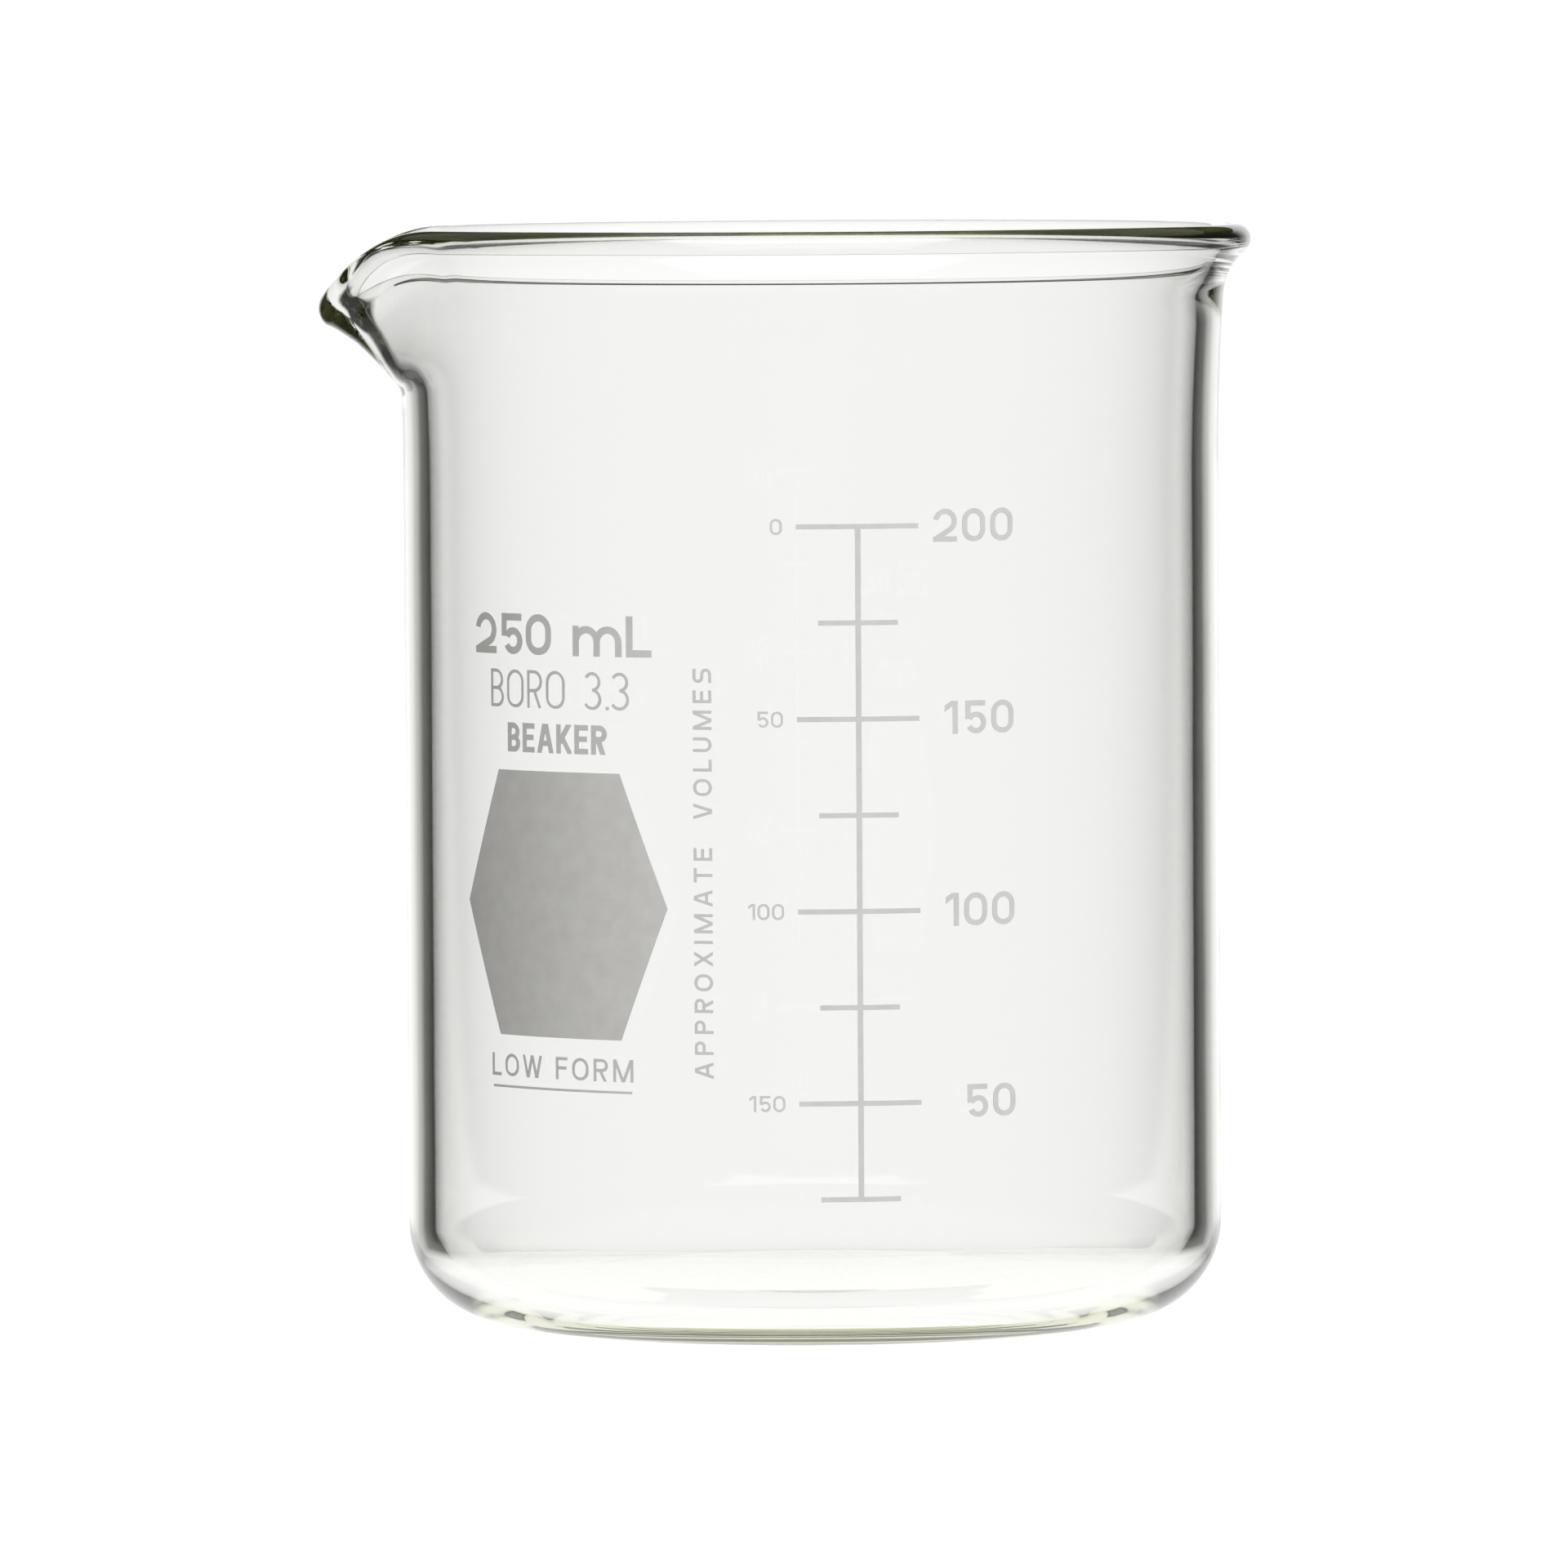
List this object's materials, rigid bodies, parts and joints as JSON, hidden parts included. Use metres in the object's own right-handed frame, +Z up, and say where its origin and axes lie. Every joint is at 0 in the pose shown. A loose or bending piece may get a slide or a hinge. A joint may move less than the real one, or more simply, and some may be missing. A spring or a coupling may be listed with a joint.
{
  "type": "beaker",
  "caption": "Low-form laboratory beaker of clear borosilicate glass with a flared beaded rim, a pouring spout and a fired white enamel volume scale and label.",
  "frame": {"origin": "Middle of the base, on the flat surface that the beaker stands on.", "axes": "+Z up along the beaker's axis; the spout points along -X; the volume scale faces -Y, so +X is to the right of someone reading it."},
  "size_m": [0.078, 0.0738, 0.0913],
  "materials": {
    "glass": "clear, fire-polished, faint olive tint in thick places",
    "enamel": "white ceramic ink fired into the glass, satin"
  },
  "bodies": {
    "root": {"glass_vessel": "glass", "graduation_scale": "enamel", "rising_50": "enamel", "rising_100": "enamel", "rising_150": "enamel", "rising_200": "enamel", "falling_0": "enamel", "falling_50": "enamel", "falling_100": "enamel", "falling_150": "enamel", "capacity_mark": "enamel", "glass_type_mark": "enamel", "kind_mark": "enamel", "marking_patch": "enamel", "form_mark": "enamel", "volume_legend": "enamel"}
  },
  "joints": []
}
